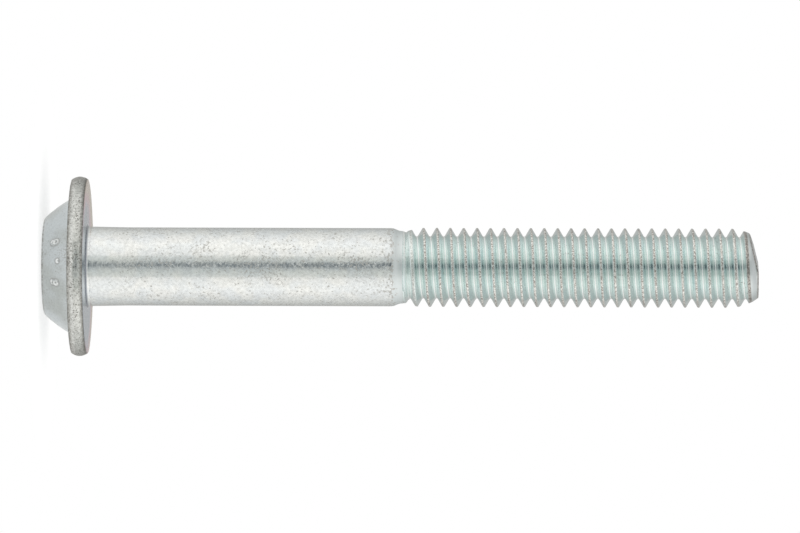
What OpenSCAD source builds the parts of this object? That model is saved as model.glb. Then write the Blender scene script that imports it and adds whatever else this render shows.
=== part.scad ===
// Flanged button head screw, M6 x 1 x 50, cold formed in one piece with a rolled thread.
// It stands on its head: the axis is Z, from the head up to the point of the screw.
// The origin is the centre of the bearing face under the flange. All lengths are in millimetres.

/* [Head] */
// Height of the head, from the bearing face to the flat top
head_h = 3.25; // [2.8:0.05:4]
// Diameter at which the dome would meet the flat top without its rounding
dome_top_d = 7.1; // [6.6:0.05:8]
// Diameter at which the dome would meet the flange without its fillet
dome_base_d = 10.15; // [9.2:0.05:11]
// Radius of the dome's curve in section
dome_r = 9.2; // [5:0.1:16]
// Rounding between the flat top and the dome
top_edge_r = 0.55; // [0.2:0.05:0.8]
// Fillet between the dome and the flange
dome_foot_r = 0.2; // [0.1:0.02:0.4]

/* [Flange] */
// Diameter of the flange at the crown of its rim
flange_d = 13.4; // [12.4:0.1:16]
// Thickness of the flange at its rim
flange_t = 1.16; // [0.8:0.02:1.5]
// How far the crown of the rim stands out past its two edges
rim_crown = 0.2; // [0.1:0.01:0.38]

/* [Hexagon socket] */
// Width of the socket across its flats
socket_af = 4; // [3:0.1:4.6]
// Depth of the full hexagon below the flat top
socket_depth = 2.15; // [1.4:0.05:2.4]
// How far the bevel around the mouth reaches past the corners of the hexagon
socket_mouth = 0.1; // [0.05:0.01:0.3]
// Included angle of that bevel
socket_mouth_angle = 120; // [90:5:150]
// Width of the level land around the pointed floor
socket_floor_land = 0.1; // [0.05:0.05:0.5]
// Included angle of the pointed floor
socket_floor_angle = 120; // [100:5:160]

/* [Shank] */
// Length under the head
length = 50; // [40:1:80]
// Diameter of the plain shank
shank_d = 5.83; // [5.6:0.01:6]
// Diameter of the shank where it swells out to meet the head
shank_root_d = 5.93; // [5.84:0.01:6.1]
// Length over which the shank swells
swell_len = 3; // [1:0.1:6]
// Fillet under the head
underhead_r = 0.25; // [0.1:0.01:0.4]

/* [Neck] */
// Diameter of the neck where the shank steps down to the thread
neck_d = 5.4; // [5.2:0.02:5.56]
// Length of the rounded shoulder from the shank down to the neck
shoulder_len = 0.9; // [0.5:0.05:2]
// Length of the plain neck between the shoulder and the thread
neck_land = 0.05; // [0.05:0.05:1]

/* [Thread] */
// Length of the thread, from the neck to the end of the screw
thread_len = 26.45; // [18:0.05:32]
// Diameter over the crests
major_d = 5.9; // [5.7:0.01:6]
// Advance per turn, right handed
pitch = 1; // [0.75:0.05:1.25]
// Half of the angle between the two flanks
flank_angle = 30; // [27.5:0.5:32.5]
// Width of the flat on the crest
crest_flat = 0.125; // [0.08:0.005:0.2]
// Rounding of the root
root_r = 0.118; // [0.06:0.002:0.16]
// Step from the neck down to where the thread begins
die_step = 0.03; // [0.02:0.005:0.08]
// Length over which the groove comes to its full depth
root_run = 0.65; // [0.3:0.05:2]
// Length over which the crest comes to its full height
crest_run = 1.3; // [0.5:0.05:3]

/* [Point] */
// Diameter of the end face
tip_d = 4.4; // [3.6:0.05:4.6]
// Angle between the axis and the bevel around the end
point_angle = 35; // [25:1:45]
// Length over which the last crests fall off towards the end
lead_len = 2.2; // [1:0.1:4]
// How much the crest radius would fall by the end
lead_drop = 0.7; // [0.2:0.05:0.9]
// Slope of the half of the end face that was sheared off at an angle
crop_tilt = 14; // [4:1:20]
// Direction in which that half falls away, about the axis
crop_turn = 190; // [0:5:355]
// Distance from the axis to the line where that half starts
crop_offset = 0.05; // [0.02:0.01:0.6]

/* [Hidden] */
$fn = 96;
zinc = [0.75, 0.77, 0.78];

// Straight pieces in each rounded stretch of the section
arc_steps = 10;
// Straight pieces in each turn of the thread
turn_steps = 32;
// How far two pieces that join, or two cuts that meet, reach into each other
bite = 0.5;
// How far a cut reaches past the surface that it opens
clear = 1;

// Section of the head: centres of the dome, of its two blends and of the rim
dome_c = arc_centre([dome_top_d / 2, -head_h], [dome_base_d / 2, -flange_t], dome_r);
top_edge_c = blend_centre(dome_c, dome_r - top_edge_r, top_edge_r - head_h);
dome_foot_c = blend_centre(dome_c, dome_r + dome_foot_r, -flange_t - dome_foot_r);
rim_r = (pow(flange_t / 2, 2) + pow(rim_crown, 2)) / (2 * rim_crown);
rim_c = [flange_d / 2 - rim_r, -flange_t / 2];
rim_half = asin(flange_t / 2 / rim_r);

// Section of the shank: two equal arcs that meet halfway make the shoulder
thread_start = length - thread_len;
shoulder_end = thread_start - neck_land;
shoulder_drop = (shank_d - neck_d) / 2;
shoulder_turn = 2 * atan(shoulder_drop / shoulder_len);
shoulder_r = shoulder_len / (2 * sin(shoulder_turn));

// Form of one turn of the thread, as radius against the share of a turn from the middle of the crest
blank_r = neck_d / 2 - die_step;
crest_half = crest_flat / 2 / pitch;
root_half = root_r * cos(flank_angle) / pitch;
flank_foot = 0.5 - root_half;
flank_drop = (flank_foot - crest_half) * pitch / tan(flank_angle);
root_drop = flank_drop + root_r * (1 - sin(flank_angle));
thread_rows = [crest_half, flank_foot, 0.5, 1 - flank_foot, 1 - crest_half];
thread_form = [
    [0, major_d / 2],
    [crest_half, major_d / 2],
    [flank_foot, major_d / 2 - flank_drop],
    [0.5, major_d / 2 - root_drop],
    [1 - flank_foot, major_d / 2 - flank_drop],
    [1 - crest_half, major_d / 2],
    [1, major_d / 2],
];

// Rows of the thread follow the helix, so each column starts and ends at a row of its own
rows_per_turn = len(thread_rows);
thread_low = thread_start - bite;
first_turn = -ceil(bite / pitch) - 2;
row_count = rows_per_turn * (ceil(thread_len / pitch) - first_turn + 1);
row_snap = 0.03 * pitch;
low_row = [for (i = [0:turn_steps - 1])
    max([for (m = [0:row_count]) if (row_z(i, m) < thread_low + row_snap) m])];
high_row = [for (i = [0:turn_steps - 1])
    min([for (m = [0:row_count]) if (row_z(i, m) > length - row_snap) m])];

// Points of an arc about c, leaving out the first ones where it carries on from another arc
function arc(c, r, from, to, first = 0) =
    [for (k = [first:arc_steps]) let (a = from + (to - from) * k / arc_steps) c + r * [cos(a), sin(a)]];

// Direction from p to q
function heading(p, q) = atan2(q[1] - p[1], q[0] - p[0]);

// Centre of the arc of radius r from p to q that bulges away from the axis
function arc_centre(p, q, r) =
    let (h = (q - p) / 2) p + h + sqrt(r * r - h * h) * [-h[1], h[0]] / norm(h);

// Point at height z and distance d from c, on the side away from the axis
function blend_centre(c, d, z) = [c[0] + sqrt(d * d - pow(z - c[1], 2)), z];

// Share of its full form that the thread has reached at a share t of its run-out
function grown(t) = (1 - cos(180 * min(t, 1))) / 2;

// Height of row m of the thread in column i, along the helix
function row_z(i, m) =
    thread_start
    + pitch * (first_turn + floor(m / rows_per_turn) + thread_rows[m % rows_per_turn] + i / turn_steps);

// Largest radius that the bevel and the falling crests leave at height z
function point_r(z) =
    let (e = length - z)
    min(tip_d / 2 + e * tan(point_angle), major_d / 2 - lead_drop * pow(max(0, 1 - e / lead_len), 2));

// Radius of the thread in column i at height z
function thread_r(i, z) =
    let (turns = (z - thread_start) / pitch - i / turn_steps)
    let (full = lookup(turns - floor(turns), thread_form))
    let (run = full < blank_r ? root_run : crest_run)
    min(point_r(z), blank_r + (full - blank_r) * grown(max(0, z - thread_start) / run));

// Point of the thread in column i and row m, kept between its two ends
function thread_point(i, m) =
    let (z = m <= low_row[i] ? thread_low : m >= high_row[i] ? length : row_z(i, m))
    let (a = 360 * i / turn_steps)
    let (r = thread_r(i, z))
    [r * cos(a), r * sin(a), z];

// Number of the point in column i and row m: one turn on, the columns carry on one turn higher
function thread_index(i, m) =
    i == turn_steps
        ? thread_index(0, m + rows_per_turn)
        : i * (row_count + 1) + max(low_row[i], min(high_row[i], m));

// Triangle of three points, or nothing where two of them are the same
function triangle(p, q, r) = p == q || q == r || r == p ? [] : [[p, q, r]];

// Head, flange, shank and neck, turned about the axis
module blank() {
    rotate_extrude()
        polygon(concat(
            [[0, -head_h]],
            arc(top_edge_c, top_edge_r, -90, heading(dome_c, top_edge_c)),
            arc(dome_c, dome_r, heading(dome_c, top_edge_c), heading(dome_c, dome_foot_c), 1),
            arc(dome_foot_c, dome_foot_r, heading(dome_foot_c, dome_c), 90, 1),
            arc(rim_c, rim_r, -rim_half, rim_half),
            arc([shank_root_d / 2 + underhead_r, underhead_r], underhead_r, 270, 180),
            [[shank_d / 2, swell_len]],
            arc([shank_d / 2 - shoulder_r, shoulder_end - shoulder_len], shoulder_r, 0, shoulder_turn),
            arc([neck_d / 2 + shoulder_r, shoulder_end], shoulder_r, 180 + shoulder_turn, 180, 1),
            [[neck_d / 2, thread_start], [0, thread_start]]
        ));
}

// Hexagon recess in the flat top, with a bevelled mouth and a pointed floor
module socket() {
    corner_r = socket_af / 2 / cos(30);
    mouth_r = corner_r + socket_mouth;
    mouth_slope = tan(socket_mouth_angle / 2);
    floor_r = socket_af / 2 - socket_floor_land;
    translate([0, 0, -head_h - clear]) {
        cylinder(r = corner_r, h = clear + socket_depth, $fn = 6);
        cylinder(r1 = mouth_r + clear * mouth_slope, r2 = 0, h = clear + mouth_r / mouth_slope);
    }
    translate([0, 0, -head_h + socket_depth - bite])
        cylinder(r = floor_r, h = bite);
    translate([0, 0, -head_h + socket_depth])
        cylinder(r1 = floor_r, r2 = 0, h = floor_r / tan(socket_floor_angle / 2));
}

// Threaded length as one closed skin that follows the helix
module thread() {
    points = concat(
        [for (i = [0:turn_steps - 1], m = [0:row_count]) thread_point(i, m)],
        [[0, 0, thread_low], [0, 0, length]]
    );
    low_centre = len(points) - 2;
    high_centre = len(points) - 1;
    flanks = [for (i = [0:turn_steps - 1], m = [0:row_count - 1])
        let (a = thread_index(i, m))
        let (b = thread_index(i + 1, m))
        let (c = thread_index(i + 1, m + 1))
        let (d = thread_index(i, m + 1))
        each concat(triangle(a, d, c), triangle(a, c, b))];
    low_end = [for (i = [0:turn_steps - 1])
        [low_centre, thread_index(i, 0), thread_index(i + 1, -rows_per_turn)]];
    high_end = [for (i = [0:turn_steps - 1])
        [high_centre, thread_index(i + 1, row_count), thread_index(i, row_count)]];
    polyhedron(points, concat(flanks, low_end, high_end), convexity = 10);
}

// Space over the sheared half of the end face
module crop() {
    reach = 2 * major_d;
    rotate([0, 0, crop_turn])
        translate([crop_offset, 0, length])
        rotate([0, crop_tilt, 0])
        translate([-reach, -reach, 0])
        cube([2 * reach, 2 * reach, reach]);
}

// The whole screw
module screw() {
    color(zinc) {
        difference() {
            blank();
            socket();
        }
        difference() {
            thread();
            crop();
        }
    }
}

screw();
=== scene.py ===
"""Looks of the flanged button head screw: its skin, zinc finishes, light tent, floor and camera.

The screw stands on the flat top of its head. Its axis is Z and its bearing face is at height 0.
The camera looks along +Y with the picture turned by a quarter turn, so the head is at the left and the
point at the right. Sizes are in millimetres and angles in degrees; meshes are written in metres.
"""

import logging
import math
from dataclasses import dataclass, field
from enum import IntEnum

import bpy
import numpy as np
from mathutils import Matrix, Vector


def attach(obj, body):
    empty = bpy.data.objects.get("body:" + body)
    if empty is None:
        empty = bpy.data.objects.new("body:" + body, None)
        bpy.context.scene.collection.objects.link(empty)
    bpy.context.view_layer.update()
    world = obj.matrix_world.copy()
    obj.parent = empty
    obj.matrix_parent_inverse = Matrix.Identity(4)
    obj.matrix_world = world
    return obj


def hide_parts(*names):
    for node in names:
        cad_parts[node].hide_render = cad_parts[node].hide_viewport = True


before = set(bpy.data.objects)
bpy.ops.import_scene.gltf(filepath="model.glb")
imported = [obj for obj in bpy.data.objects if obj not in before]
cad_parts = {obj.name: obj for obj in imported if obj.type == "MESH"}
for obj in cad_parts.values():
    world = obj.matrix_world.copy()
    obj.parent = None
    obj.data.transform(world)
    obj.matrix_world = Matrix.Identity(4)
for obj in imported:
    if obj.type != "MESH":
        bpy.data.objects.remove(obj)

Array = np.ndarray
Colour = tuple[float, float, float]
Point = tuple[float, float]
Range = tuple[float, float]
Wire = bpy.types.NodeSocket
Feed = Wire | float | tuple[float, ...]

MM = 0.001
MICRON = 1e-6
HALF_TURN = 180.0
NOISE_MIDDLE = 0.5
BLACK: Colour = (0.0, 0.0, 0.0)
WHITE: Colour = (1.0, 1.0, 1.0)
# The mix node's places for its share, its two colours and the blended colour.
MIX_INPUTS = (0, 6, 7)
MIX_OUTPUT = 2
# Marks that the finishes read; among them are the painted shade beside the figures and at the thread flanks'
# feet, the roots' painted highlight and the painted shade along the rim's edges.
MARKS = ("crest", "root", "neck", "edge", "raised", "hollow")
log = logging.getLogger("screw")


class Zone(IntEnum):
    """The finishes of the skin, in the order of its material slots."""

    HEAD = 0
    RIM = 1
    BEARING = 2
    SHANK = 3
    THREAD = 4
    POINT = 5


def smoothstep(low: float, high: float, value: Array) -> Array:
    """Rises from 0 at low to 1 at high along 3t^2 - 2t^3, where t is the share of the way.

    Args:
        low: value at which the rise starts.
        high: value at which it ends; it may be under low for a fall.
        value: values to place on the rise.

    Returns:
        The risen share of each value.
    """
    share = np.clip((value - low) / (high - low), 0.0, 1.0)
    return share * share * (3.0 - 2.0 * share)


def soft_least(first: Array, second: Array, width: float) -> Array:
    """The lesser of two heights with a rounded corner: least - h^2 * width / 4, h the share of overlap.

    Args:
        first: first height.
        second: second height.
        width: difference of the two below which the corner is rounded.

    Returns:
        The rounded least of each pair.
    """
    overlap = np.clip(width - np.abs(first - second), 0.0, None) / width
    return np.minimum(first, second) - overlap * overlap * width / 4.0


def soft_most(first: Array, second: Array, width: float) -> Array:
    """The greater of two heights with a rounded corner, as soft_least of both turned over."""
    return -soft_least(-first, -second, width)


def arc(centre: Point, radius: float, start: float, end: float, count: int) -> Array:
    """Points at even angles on a circle in the section plane.

    Args:
        centre: radius and height of the circle's centre.
        radius: radius of the circle.
        start: first angle, counted from the outward direction towards +Z.
        end: last angle.
        count: number of points.

    Returns:
        A row of radius and height for each point.
    """
    angle = np.radians(np.linspace(start, end, count))
    return np.stack([centre[0] + radius * np.cos(angle), centre[1] + radius * np.sin(angle)], axis=1)


def grain(rows: int, columns: int, size: float, seed: int) -> Array:
    """Even random relief that closes on itself: random numbers blurred by a bell curve.

    Args:
        rows: rows of the grid.
        columns: columns of the grid.
        size: deviation of the bell curve, in cells.
        seed: seed of the random numbers.

    Returns:
        Relief with mean 0 and deviation 1.
    """
    rough = np.random.default_rng(seed).standard_normal((rows, columns))
    pace = np.fft.fftfreq(rows)[:, None] ** 2 + np.fft.fftfreq(columns)[None, :] ** 2
    calm = np.fft.ifft2(np.fft.fft2(rough) * np.exp(-2.0 * (math.pi * size) ** 2 * pace)).real
    return (calm - calm.mean()) / calm.std()


class Skin:
    """Collects the points and triangles of one closed skin, ring by ring from the socket to the point."""

    def __init__(self) -> None:
        """Starts with no points."""
        self._points: list[Array] = []
        self._triangles: list[Array] = []
        self._zones: list[Array] = []
        self._hard: list[Array] = []
        self._normals: list[Array] = []
        self._marks: dict[str, list[Array]] = {name: [] for name in MARKS}
        self._count = 0

    def add(self, radius: Array, angle: Array, height: Array, normal: Array | None = None,
            **marks: Array) -> Array:
        """Adds a grid of points given round the axis.

        Args:
            radius: distance of each point from the axis.
            angle: angle of each point round the axis, in radians.
            height: height of each point.
            normal: direction of the surface at each point, 0 or none where the faces give it.
            marks: values between 0 and 1 that the finishes read, by attribute name.

        Returns:
            The numbers of the points, in the shape of the grid.
        """
        shape = np.broadcast_shapes(np.shape(radius), np.shape(angle), np.shape(height))
        grid = [np.broadcast_to(a, shape) for a in (radius * np.cos(angle), radius * np.sin(angle), height)]
        self._points.append(np.stack(grid, axis=-1).reshape(-1, 3))
        self._normals.append(np.broadcast_to(0.0 if normal is None else normal, (*shape, 3)).reshape(-1, 3))
        for name, values in self._marks.items():
            values.append(np.broadcast_to(marks.get(name, 0.0), shape).ravel().astype(np.float32))
        numbers = self._count + np.arange(int(np.prod(shape))).reshape(shape)
        self._count += numbers.size
        return numbers

    def faces(self, low: Array, low_next: Array, high: Array, high_next: Array, zone: Zone) -> None:
        """Puts two triangles in each cell between two rings, and none where a cell has no area.

        Args:
            low: point of the earlier ring at each column.
            low_next: point of the earlier ring at the next column.
            high: point of the later ring at each column.
            high_next: point of the later ring at the next column.
            zone: finish of the cells.
        """
        cells = np.stack([low, low_next, high_next, high], axis=-1).reshape(-1, 4)
        both = np.concatenate([cells[:, [0, 1, 2]], cells[:, [0, 2, 3]]])
        whole = (both[:, 0] != both[:, 1]) & (both[:, 1] != both[:, 2]) & (both[:, 2] != both[:, 0])
        self._triangles.append(both[whole])
        self._zones.append(np.full(int(whole.sum()), int(zone)))

    def sheet(self, rings: Array, zone: Zone) -> None:
        """Joins each ring to the next, and its last column to its first."""
        after = np.roll(rings, -1, axis=1)
        self.faces(rings[:-1], after[:-1], rings[1:], after[1:], zone)

    def gather(self, fine: Array, coarse: Array, zone: Zone) -> None:
        """Joins a ring to a later one with fewer points, whose number divides its own.

        Args:
            fine: earlier ring.
            coarse: later ring.
            zone: finish of the faces.
        """
        share = fine.size // coarse.size
        along = np.arange(fine.size)
        nearest = coarse[((along + share // 2) // share) % coarse.size]
        self.faces(fine, np.roll(fine, -1), nearest, np.roll(nearest, -1), zone)

    def harden(self, ring: Array, closed: bool = True) -> None:
        """Marks the edges along a line of points as sharp.

        Args:
            ring: numbers of the points, in order.
            closed: whether the last point joins the first.
        """
        pairs = np.stack([ring, np.roll(ring, -1)], axis=1)
        self._hard.append(np.sort(pairs if closed else pairs[:-1], axis=1))

    def build(self, name: str, finishes: list[bpy.types.Material]) -> bpy.types.Object:
        """Makes the mesh object, in metres, without the points that no triangle uses.

        Args:
            name: name of the piece.
            finishes: materials in the order of Zone.

        Returns:
            The new object, linked to the scene.
        """
        triangles = np.concatenate(self._triangles)
        used, corners = np.unique(triangles, return_inverse=True)
        corners = corners.reshape(-1)
        points = np.concatenate(self._points)[used] * MM
        mesh = bpy.data.meshes.new(name)
        mesh.vertices.add(len(points))
        mesh.vertices.foreach_set("co", points.astype(np.float32).ravel())
        mesh.loops.add(len(corners))
        mesh.loops.foreach_set("vertex_index", corners.astype(np.int32))
        mesh.polygons.add(len(triangles))
        mesh.polygons.foreach_set("loop_start", np.arange(0, len(corners), 3, dtype=np.int32))
        mesh.polygons.foreach_set("material_index", np.concatenate(self._zones).astype(np.int32))
        mesh.polygons.foreach_set("use_smooth", np.ones(len(triangles), dtype=bool))
        mesh.update(calc_edges=True)
        for mark, values in self._marks.items():
            layer = mesh.attributes.new(mark, "FLOAT", "POINT")
            layer.data.foreach_set("value", np.concatenate(values)[used])
        edges = np.empty(len(mesh.edges) * 2, dtype=np.int32)
        mesh.edges.foreach_get("vertices", edges)
        edges = np.sort(used[edges.reshape(-1, 2)], axis=1)
        hard = np.concatenate(self._hard)
        sharp = np.isin(edges[:, 0] * self._count + edges[:, 1], hard[:, 0] * self._count + hard[:, 1])
        mesh.attributes.new("sharp_edge", "BOOLEAN", "EDGE").data.foreach_set("value", sharp)
        for finish in finishes:
            mesh.materials.append(finish)
        mesh.validate()
        mesh.normals_split_custom_set_from_vertices(np.concatenate(self._normals)[used])
        piece = bpy.data.objects.new(name, mesh)
        bpy.context.scene.collection.objects.link(piece)
        log.info("%s: %d triangles", name, len(triangles))
        return piece


@dataclass
class Socket:
    """Hexagon socket in the head's flat top."""

    sides: int = 6
    across_flats: float = 4.0
    depth: float = 2.15
    mouth_margin: float = 0.1
    mouth_angle: float = 120.0
    floor_land: float = 0.1
    floor_angle: float = 120.0
    floor_rows: int = 5
    wall_rows: int = 5

    def hexagon(self, angle: Array) -> Array:
        """Wall distance from the axis: half the width over the cosine of the angle from the nearest flat."""
        sector = 2.0 * math.pi / self.sides
        return self.across_flats / 2.0 / np.cos(np.mod(angle, sector) - sector / 2.0)

    def mouth_r(self) -> float:
        """Radius of the bevel at the flat top, a margin outside the hexagon's corners."""
        return self.across_flats / math.sqrt(3.0) + self.mouth_margin

    def build(self, skin: Skin, angle: Array, top: float) -> Array:
        """Adds the pointed floor, the six walls and the bevelled mouth.

        Args:
            skin: skin to add to.
            angle: angles of the columns, in radians.
            top: height of the head's flat top.

        Returns:
            The ring at the mouth.
        """
        floor = top + self.depth
        cone_r = self.across_flats / 2.0 - self.floor_land
        spread = np.linspace(0.0, cone_r, self.floor_rows + 1)[:, None]
        rise = (cone_r - spread) / math.tan(math.radians(self.floor_angle / 2.0))
        cone = skin.add(spread, angle, floor + rise)
        cone[0] = cone[0, 0]
        hexagon = self.hexagon(angle)
        bevel = (self.mouth_r() - hexagon) / math.tan(math.radians(self.mouth_angle / 2.0))
        share = np.linspace(0.0, 1.0, self.wall_rows)[:, None]
        wall = skin.add(hexagon, angle, floor + share * (top + bevel - floor))
        mouth = skin.add(np.full_like(angle, self.mouth_r()), angle, np.full_like(angle, top))
        skin.sheet(np.concatenate([cone, wall, mouth[None, :]]), Zone.HEAD)
        for ring in (cone[-1], wall[0], wall[-1], mouth):
            skin.harden(ring)
        for column in range(0, angle.size, angle.size // self.sides):
            skin.harden(wall[:, column], closed=False)
        return mouth


@dataclass
class RaisedFigures:
    """Raised plain figures on the dome: two eights with a point between them."""

    eight_angles: tuple[float, float] = (246.5, 285.4)
    dot_angle: float = 265.2
    eight_row: float = 1.14
    dot_row: float = 1.42
    loop_rs: tuple[float, float] = (0.135, 0.165)
    loop_offsets: tuple[float, float] = (-0.16, 0.14)
    dot_r: float = 0.165
    stroke: float = 0.075
    soft: float = 0.04
    rise: float = 0.1
    # Width of the painted shade round the figures, past their soft edge.
    hollow: float = 0.1

    def shares(self, radius: Array, angle: Array, along: Array) -> tuple[Array, Array]:
        """Shares of figure and of the ground close round it.

        A figure is whole within half a stroke of a loop's circle or of the dot, and soft at its edge.

        Args:
            radius: distance of each dome point from the axis.
            angle: angle of each dome point, in radians.
            along: length of the section from the top edge to each dome point.

        Returns:
            Share of raised figure and share of painted shade on the ground beside it.
        """
        gap = np.full(np.broadcast_shapes(radius.shape, angle.shape), np.inf)
        for eight in self.eight_angles:
            across = radius * (angle - math.radians(eight))
            for loop_r, offset in zip(self.loop_rs, self.loop_offsets):
                gap = np.minimum(gap, np.abs(np.hypot(across, along - self.eight_row - offset) - loop_r))
        across = radius * (angle - math.radians(self.dot_angle))
        gap = np.minimum(gap, np.hypot(across, along - self.dot_row) - self.dot_r + self.stroke)
        raised = smoothstep(self.stroke + self.soft, self.stroke - self.soft, gap)
        near = smoothstep(self.stroke + self.soft + self.hollow, self.stroke + self.soft, gap)
        return raised, near * (1.0 - raised)


@dataclass
class Head:
    """Domed head on its flange, with the socket and the raised figures."""

    height: float = 3.25
    dome_top_d: float = 7.1
    dome_base_d: float = 10.15
    dome_r: float = 9.2
    top_edge_r: float = 0.55
    dome_foot_r: float = 0.2
    flange_d: float = 13.4
    flange_t: float = 1.16
    rim_crown: float = 0.2
    # Widths of the painted shade along the rim's edges, on the head's side and on the bearing face's side.
    rim_shade_edges: tuple[float, float] = (0.44, 0.36)
    rim_inset: float = 0.006
    rim_pit: float = 0.008
    rim_pit_grain: float = 1.0
    rim_pit_level: float = 0.6
    rim_pit_most: float = 2.5
    rim_pit_edge: float = 0.5
    columns: int = 432
    top_rows: int = 4
    edge_rows: int = 6
    dome_rows: int = 40
    foot_rows: int = 5
    face_rows: int = 5
    rim_rows: int = 15
    rim_seed: int = 11
    socket: Socket = field(default_factory=Socket)
    figures: RaisedFigures = field(default_factory=RaisedFigures)

    def dome_centre(self) -> Point:
        """Centre of the dome's arc, on the axis side of the chord from its top edge to its foot.

        It lies off the chord's middle by the root of the arc's radius squared less half the chord squared.

        Returns:
            Radius and height of the centre.
        """
        top = np.array([self.dome_top_d / 2.0, -self.height])
        base = np.array([self.dome_base_d / 2.0, -self.flange_t])
        chord = base - top
        half = np.hypot(*chord) / 2.0
        inward = np.array([-chord[1], chord[0]]) / (2.0 * half)
        centre = (top + base) / 2.0 + inward * math.sqrt(self.dome_r**2 - half**2)
        return float(centre[0]), float(centre[1])

    def blend_centre(self, height: float, reach: float) -> Point:
        """Centre of a rounding at a given height and distance from the dome's centre."""
        centre = self.dome_centre()
        return centre[0] + math.sqrt(reach**2 - (height - centre[1]) ** 2), height

    def build(self, skin: Skin, inner_r: float) -> Array:
        """Adds the head from the socket to the bearing face.

        Args:
            skin: skin to add to.
            inner_r: radius at which the bearing face ends.

        Returns:
            The last ring, on the bearing face.
        """
        angle = np.linspace(0.0, 2.0 * math.pi, self.columns, endpoint=False)
        mouth = self.socket.build(skin, angle, -self.height)
        centre = self.dome_centre()
        edge = self.blend_centre(-self.height + self.top_edge_r, self.dome_r - self.top_edge_r)
        foot = self.blend_centre(-self.flange_t - self.dome_foot_r, self.dome_r + self.dome_foot_r)
        turns = [math.degrees(math.atan2(p[1] - centre[1], p[0] - centre[0])) for p in (edge, foot)]
        flat_r = np.linspace(self.socket.mouth_r(), edge[0], self.top_rows + 1)[1:-1]
        flat = np.stack([flat_r, np.full_like(flat_r, -self.height)], axis=1)
        round_edge = arc(edge, self.top_edge_r, -90.0, turns[0], self.edge_rows)[:-1]
        top = np.concatenate([flat, round_edge])
        worn = np.concatenate([np.zeros(len(flat)), np.ones(len(round_edge))])[:, None]
        top_rings = skin.add(top[:, :1], angle, top[:, 1:], edge=worn)
        dome_rings = self.dome(skin, angle, turns)
        lower = arc(foot, self.dome_foot_r, 180.0 + turns[1], 90.0, self.foot_rows)[1:]
        lower_rings = skin.add(lower[:, :1], angle, lower[:, 1:])
        skin.sheet(np.concatenate([mouth[None, :], top_rings, dome_rings, lower_rings]), Zone.HEAD)
        return self.flange(skin, angle, lower_rings[-1], foot[0], inner_r)

    def dome(self, skin: Skin, angle: Array, turns: list[float]) -> Array:
        """Adds the dome's rings, pushed out along the arc's normal by the figures' relief.

        Args:
            skin: skin to add to.
            angle: angles of the columns, in radians.
            turns: first and last angle of the dome's arc.

        Returns:
            The rings of the dome.
        """
        centre = self.dome_centre()
        turn = np.radians(np.linspace(turns[0], turns[1], self.dome_rows))[:, None]
        radius = centre[0] + self.dome_r * np.cos(turn)
        along = self.dome_r * (turn - turn[0])
        # The figures are raised in the mesh; the ground beside them only gets painted shade.
        raised, hollow = self.figures.shares(radius, angle[None, :], along)
        reach = self.dome_r + self.figures.rise * raised
        return skin.add(centre[0] + reach * np.cos(turn), angle, centre[1] + reach * np.sin(turn),
                        raised=raised, hollow=hollow)

    def flange(self, skin: Skin, angle: Array, start: Array, start_r: float, inner_r: float) -> Array:
        """Adds the flange's top face, its rim and the bearing face.

        The rim's section is an arc, pitted inwards by random grain.

        Args:
            skin: skin to add to.
            angle: angles of the columns, in radians.
            start: ring at the dome's foot.
            start_r: radius of that ring.
            inner_r: radius at which the bearing face ends.

        Returns:
            The last ring, on the bearing face.
        """
        half_t = self.flange_t / 2.0
        rim_r = (half_t**2 + self.rim_crown**2) / (2.0 * self.rim_crown)
        rim_centre_r = self.flange_d / 2.0 - rim_r
        reach = math.asin(half_t / rim_r)
        turn = np.linspace(-reach, reach, self.rim_rows)[:, None]
        relief = grain(self.rim_rows, self.columns, self.rim_pit_grain, self.rim_seed)
        pits = self.rim_pit * np.clip(relief + self.rim_pit_level, 0.0, self.rim_pit_most)
        pits[[0, -1]] *= self.rim_pit_edge
        pits += self.rim_inset
        # Share of painted shade along the rim's two edges.
        edge = np.maximum(smoothstep(self.rim_shade_edges[0], 0.0, rim_r * (reach + turn)),
                          smoothstep(self.rim_shade_edges[1], 0.0, rim_r * (reach - turn)))
        outer_r = rim_centre_r + (rim_r - pits) * np.cos(turn)
        rim = skin.add(outer_r, angle, rim_r * np.sin(turn) - half_t, edge=edge)
        edge_r = self.flange_d / 2.0 - self.rim_crown
        face_r = np.linspace(start_r, edge_r, self.face_rows + 1)[1:-1, None]
        face = skin.add(face_r, angle, np.full_like(face_r, -self.flange_t))
        bearing_r = np.linspace(edge_r, inner_r, self.face_rows + 1)[1:, None]
        outward = np.linspace(1.0, 0.0, self.face_rows + 1)[1:, None]
        bearing = skin.add(bearing_r, angle, np.zeros_like(bearing_r), edge=outward)
        skin.sheet(np.concatenate([start[None, :], face, rim[:1]]), Zone.HEAD)
        skin.sheet(rim, Zone.RIM)
        skin.sheet(np.concatenate([rim[-1:], bearing]), Zone.BEARING)
        skin.harden(rim[0])
        skin.harden(rim[-1])
        return bearing[-1]


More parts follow.
